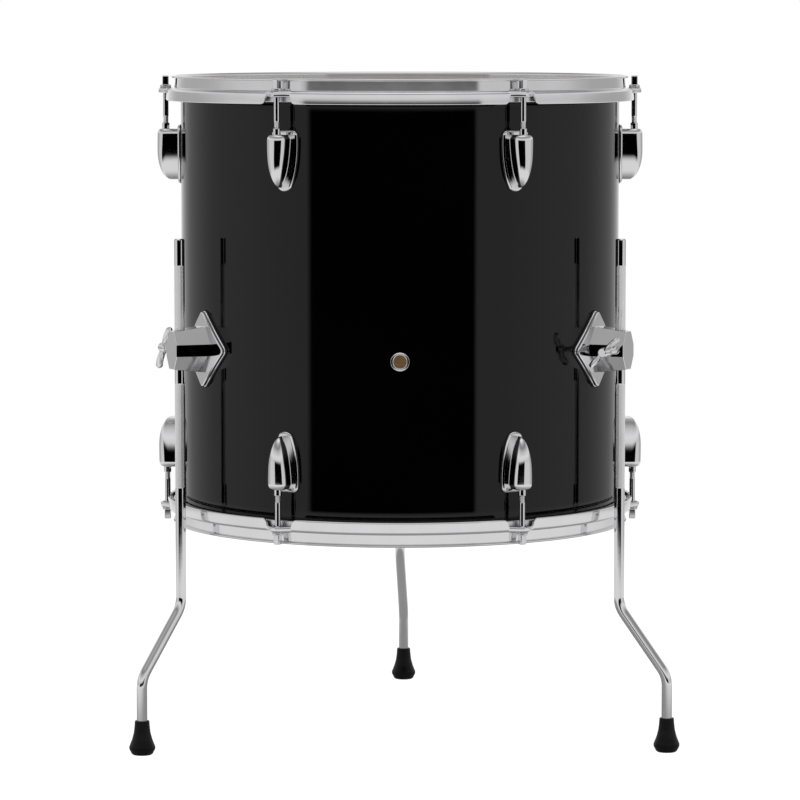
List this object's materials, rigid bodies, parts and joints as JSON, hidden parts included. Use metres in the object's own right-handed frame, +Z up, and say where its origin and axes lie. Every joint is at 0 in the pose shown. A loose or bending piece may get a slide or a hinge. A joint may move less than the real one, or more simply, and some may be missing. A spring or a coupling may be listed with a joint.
{
  "type": "floor tom drum",
  "caption": "Deep cylindrical tom tom with gloss black shell, chrome triple-flanged hoops, bullet lugs and bent, height-adjustable legs held by wing bolts.",
  "frame": {"origin": "point on the floor on the drum's axis", "axes": "+Z up along the drum's axis to the batter head; -Y towards the front, where the vent is; +X to the right of somebody who looks at the front"},
  "size_m": [0.4994, 0.5047, 0.611],
  "materials": {
    "black_wrap": "high gloss",
    "shell_wood": "sanded, unfinished",
    "chrome": "polished",
    "clear_film": "clear film",
    "aluminium": "satin",
    "gasket": "matte",
    "zinc": "zinc plated",
    "nylon": "satin",
    "brass": "turned",
    "rubber": "matte"
  },
  "bodies": {
    "drum": {"shell_plies": "shell_wood", "shell_wrap": "black_wrap", "vent_grommet": "chrome", "vent_ring": "chrome", "batter_head_film": "clear_film", "batter_flesh_hoop": "aluminium", "batter_hoop": "chrome", "batter_lug_casings": "chrome", "resonant_head_film": "clear_film", "resonant_flesh_hoop": "aluminium", "resonant_hoop": "chrome", "resonant_lug_casings": "chrome", "lug_gaskets": "gasket", "swivel_nuts": "chrome", "lug_screws": "zinc", "bracket_screws": "zinc", "inner_washers": "zinc", "bracket_gaskets": "gasket", "front_left_bracket": "chrome", "front_right_bracket": "chrome", "back_bracket": "chrome"},
    "batter_rod_washer_1": {"batter_rod_washer_1": "zinc"},
    "batter_tension_rod_1": {"batter_tension_rod_1": "chrome"},
    "batter_rod_washer_2": {"batter_rod_washer_2": "zinc"},
    "batter_tension_rod_2": {"batter_tension_rod_2": "chrome"},
    "batter_rod_washer_3": {"batter_rod_washer_3": "zinc"},
    "batter_tension_rod_3": {"batter_tension_rod_3": "chrome"},
    "batter_rod_washer_4": {"batter_rod_washer_4": "zinc"},
    "batter_tension_rod_4": {"batter_tension_rod_4": "chrome"},
    "batter_rod_washer_5": {"batter_rod_washer_5": "zinc"},
    "batter_tension_rod_5": {"batter_tension_rod_5": "chrome"},
    "batter_rod_washer_6": {"batter_rod_washer_6": "zinc"},
    "batter_tension_rod_6": {"batter_tension_rod_6": "chrome"},
    "resonant_rod_washer_1": {"resonant_rod_washer_1": "zinc"},
    "resonant_tension_rod_1": {"resonant_tension_rod_1": "chrome"},
    "resonant_rod_washer_2": {"resonant_rod_washer_2": "zinc"},
    "resonant_tension_rod_2": {"resonant_tension_rod_2": "chrome"},
    "resonant_rod_washer_3": {"resonant_rod_washer_3": "zinc"},
    "resonant_tension_rod_3": {"resonant_tension_rod_3": "chrome"},
    "resonant_rod_washer_4": {"resonant_rod_washer_4": "zinc"},
    "resonant_tension_rod_4": {"resonant_tension_rod_4": "chrome"},
    "resonant_rod_washer_5": {"resonant_rod_washer_5": "zinc"},
    "resonant_tension_rod_5": {"resonant_tension_rod_5": "chrome"},
    "resonant_rod_washer_6": {"resonant_rod_washer_6": "zinc"},
    "resonant_tension_rod_6": {"resonant_tension_rod_6": "chrome"},
    "front_left_leg_bush": {"front_left_leg_bush": "nylon"},
    "front_left_leg": {"front_left_leg": "chrome", "front_left_rubber_foot": "rubber"},
    "front_left_clamp_pad": {"front_left_clamp_pad": "brass"},
    "front_left_wing_bolt": {"front_left_wing_bolt": "chrome"},
    "front_right_leg_bush": {"front_right_leg_bush": "nylon"},
    "front_right_leg": {"front_right_leg": "chrome", "front_right_rubber_foot": "rubber"},
    "front_right_clamp_pad": {"front_right_clamp_pad": "brass"},
    "front_right_wing_bolt": {"front_right_wing_bolt": "chrome"},
    "back_leg_bush": {"back_leg_bush": "nylon"},
    "back_leg": {"back_leg": "chrome", "back_rubber_foot": "rubber"},
    "back_clamp_pad": {"back_clamp_pad": "brass"},
    "back_wing_bolt": {"back_wing_bolt": "chrome"}
  },
  "joints": [
    {"name": "batter_rod_1_travel", "type": "slide", "parent": "drum", "child": "batter_rod_washer_1", "axis": [0, 0, 1], "range_m": [0, 0.0127]},
    {"name": "batter_rod_1_turn", "type": "hinge", "parent": "batter_rod_washer_1", "child": "batter_tension_rod_1", "pos_m": [0.10865, -0.18819, 0.5996], "axis": [0, 0, 1], "range_deg": [0, 4321]},
    {"name": "batter_rod_2_travel", "type": "slide", "parent": "drum", "child": "batter_rod_washer_2", "axis": [0, 0, 1], "range_m": [0, 0.0127]},
    {"name": "batter_rod_2_turn", "type": "hinge", "parent": "batter_rod_washer_2", "child": "batter_tension_rod_2", "pos_m": [0.2173, 0, 0.5996], "axis": [0, 0, 1], "range_deg": [0, 4321]},
    {"name": "batter_rod_3_travel", "type": "slide", "parent": "drum", "child": "batter_rod_washer_3", "axis": [0, 0, 1], "range_m": [0, 0.0127]},
    {"name": "batter_rod_3_turn", "type": "hinge", "parent": "batter_rod_washer_3", "child": "batter_tension_rod_3", "pos_m": [0.10865, 0.18819, 0.5996], "axis": [0, 0, 1], "range_deg": [0, 4321]},
    {"name": "batter_rod_4_travel", "type": "slide", "parent": "drum", "child": "batter_rod_washer_4", "axis": [0, 0, 1], "range_m": [0, 0.0127]},
    {"name": "batter_rod_4_turn", "type": "hinge", "parent": "batter_rod_washer_4", "child": "batter_tension_rod_4", "pos_m": [-0.10865, 0.18819, 0.5996], "axis": [0, 0, 1], "range_deg": [0, 4321]},
    {"name": "batter_rod_5_travel", "type": "slide", "parent": "drum", "child": "batter_rod_washer_5", "axis": [0, 0, 1], "range_m": [0, 0.0127]},
    {"name": "batter_rod_5_turn", "type": "hinge", "parent": "batter_rod_washer_5", "child": "batter_tension_rod_5", "pos_m": [-0.2173, 0, 0.5996], "axis": [0, 0, 1], "range_deg": [0, 4321]},
    {"name": "batter_rod_6_travel", "type": "slide", "parent": "drum", "child": "batter_rod_washer_6", "axis": [0, 0, 1], "range_m": [0, 0.0127]},
    {"name": "batter_rod_6_turn", "type": "hinge", "parent": "batter_rod_washer_6", "child": "batter_tension_rod_6", "pos_m": [-0.10865, -0.18819, 0.5996], "axis": [0, 0, 1], "range_deg": [0, 4321]},
    {"name": "resonant_rod_1_travel", "type": "slide", "parent": "drum", "child": "resonant_rod_washer_1", "axis": [0, 0, -1], "range_m": [0, 0.0127]},
    {"name": "resonant_rod_1_turn", "type": "hinge", "parent": "resonant_rod_washer_1", "child": "resonant_tension_rod_1", "pos_m": [0.10865, -0.18819, 0.2084], "axis": [0, 0, -1], "range_deg": [0, 4321]},
    {"name": "resonant_rod_2_travel", "type": "slide", "parent": "drum", "child": "resonant_rod_washer_2", "axis": [0, 0, -1], "range_m": [0, 0.0127]},
    {"name": "resonant_rod_2_turn", "type": "hinge", "parent": "resonant_rod_washer_2", "child": "resonant_tension_rod_2", "pos_m": [0.2173, 0, 0.2084], "axis": [0, 0, -1], "range_deg": [0, 4321]},
    {"name": "resonant_rod_3_travel", "type": "slide", "parent": "drum", "child": "resonant_rod_washer_3", "axis": [0, 0, -1], "range_m": [0, 0.0127]},
    {"name": "resonant_rod_3_turn", "type": "hinge", "parent": "resonant_rod_washer_3", "child": "resonant_tension_rod_3", "pos_m": [0.10865, 0.18819, 0.2084], "axis": [0, 0, -1], "range_deg": [0, 4321]},
    {"name": "resonant_rod_4_travel", "type": "slide", "parent": "drum", "child": "resonant_rod_washer_4", "axis": [0, 0, -1], "range_m": [0, 0.0127]},
    {"name": "resonant_rod_4_turn", "type": "hinge", "parent": "resonant_rod_washer_4", "child": "resonant_tension_rod_4", "pos_m": [-0.10865, 0.18819, 0.2084], "axis": [0, 0, -1], "range_deg": [0, 4321]},
    {"name": "resonant_rod_5_travel", "type": "slide", "parent": "drum", "child": "resonant_rod_washer_5", "axis": [0, 0, -1], "range_m": [0, 0.0127]},
    {"name": "resonant_rod_5_turn", "type": "hinge", "parent": "resonant_rod_washer_5", "child": "resonant_tension_rod_5", "pos_m": [-0.2173, 0, 0.2084], "axis": [0, 0, -1], "range_deg": [0, 4321]},
    {"name": "resonant_rod_6_travel", "type": "slide", "parent": "drum", "child": "resonant_rod_washer_6", "axis": [0, 0, -1], "range_m": [0, 0.0127]},
    {"name": "resonant_rod_6_turn", "type": "hinge", "parent": "resonant_rod_washer_6", "child": "resonant_tension_rod_6", "pos_m": [-0.10865, -0.18819, 0.2084], "axis": [0, 0, -1], "range_deg": [0, 4321]},
    {"name": "front_left_leg_swivel", "type": "hinge", "parent": "drum", "child": "front_left_leg_bush", "pos_m": [-0.19919, -0.115, 0.3648], "axis": [0, 0, 1], "range_deg": [-102, 78]},
    {"name": "front_left_leg_height", "type": "slide", "parent": "front_left_leg_bush", "child": "front_left_leg", "axis": [0, 0, 1], "range_m": [-0.075, 0.18]},
    {"name": "front_left_pad_travel", "type": "slide", "parent": "drum", "child": "front_left_clamp_pad", "axis": [-0.5, 0.866, 0], "range_m": [0, 0.00201]},
    {"name": "front_left_wing_bolt_turn", "type": "hinge", "parent": "front_left_clamp_pad", "child": "front_left_wing_bolt", "pos_m": [-0.19919, -0.115, 0.3648], "axis": [-0.5, 0.866, 0], "range_deg": [0, 720]},
    {"name": "front_right_leg_swivel", "type": "hinge", "parent": "drum", "child": "front_right_leg_bush", "pos_m": [0.19919, -0.115, 0.3648], "axis": [0, 0, 1], "range_deg": [-99.4, 80.6]},
    {"name": "front_right_leg_height", "type": "slide", "parent": "front_right_leg_bush", "child": "front_right_leg", "axis": [0, 0, 1], "range_m": [-0.075, 0.18]},
    {"name": "front_right_pad_travel", "type": "slide", "parent": "drum", "child": "front_right_clamp_pad", "axis": [-0.5, -0.866, 0], "range_m": [0, 0.00201]},
    {"name": "front_right_wing_bolt_turn", "type": "hinge", "parent": "front_right_clamp_pad", "child": "front_right_wing_bolt", "pos_m": [0.19919, -0.115, 0.3648], "axis": [-0.5, -0.866, 0], "range_deg": [0, 720]},
    {"name": "back_leg_swivel", "type": "hinge", "parent": "drum", "child": "back_leg_bush", "pos_m": [0, 0.23, 0.3648], "axis": [0, 0, 1], "range_deg": [-85.5, 94.5]},
    {"name": "back_leg_height", "type": "slide", "parent": "back_leg_bush", "child": "back_leg", "axis": [0, 0, 1], "range_m": [-0.075, 0.18]},
    {"name": "back_pad_travel", "type": "slide", "parent": "drum", "child": "back_clamp_pad", "axis": [1, 0, 0], "range_m": [0, 0.00201]},
    {"name": "back_wing_bolt_turn", "type": "hinge", "parent": "back_clamp_pad", "child": "back_wing_bolt", "pos_m": [0, 0.23, 0.3648], "axis": [1, 0, 0], "range_deg": [0, 720]}
  ],
  "couplings": [
    {"joint": "batter_rod_1_turn", "follows": "batter_rod_1_travel", "rad_per_m": 5936.9},
    {"joint": "batter_rod_2_turn", "follows": "batter_rod_2_travel", "rad_per_m": 5936.9},
    {"joint": "batter_rod_3_turn", "follows": "batter_rod_3_travel", "rad_per_m": 5936.9},
    {"joint": "batter_rod_4_turn", "follows": "batter_rod_4_travel", "rad_per_m": 5936.9},
    {"joint": "batter_rod_5_turn", "follows": "batter_rod_5_travel", "rad_per_m": 5936.9},
    {"joint": "batter_rod_6_turn", "follows": "batter_rod_6_travel", "rad_per_m": 5936.9},
    {"joint": "resonant_rod_1_turn", "follows": "resonant_rod_1_travel", "rad_per_m": 5936.9},
    {"joint": "resonant_rod_2_turn", "follows": "resonant_rod_2_travel", "rad_per_m": 5936.9},
    {"joint": "resonant_rod_3_turn", "follows": "resonant_rod_3_travel", "rad_per_m": 5936.9},
    {"joint": "resonant_rod_4_turn", "follows": "resonant_rod_4_travel", "rad_per_m": 5936.9},
    {"joint": "resonant_rod_5_turn", "follows": "resonant_rod_5_travel", "rad_per_m": 5936.9},
    {"joint": "resonant_rod_6_turn", "follows": "resonant_rod_6_travel", "rad_per_m": 5936.9},
    {"joint": "front_left_pad_travel", "follows": "front_left_wing_bolt_turn", "m_per_rad": 0.00015915},
    {"joint": "front_right_pad_travel", "follows": "front_right_wing_bolt_turn", "m_per_rad": 0.00015915},
    {"joint": "back_pad_travel", "follows": "back_wing_bolt_turn", "m_per_rad": 0.00015915}
  ]
}
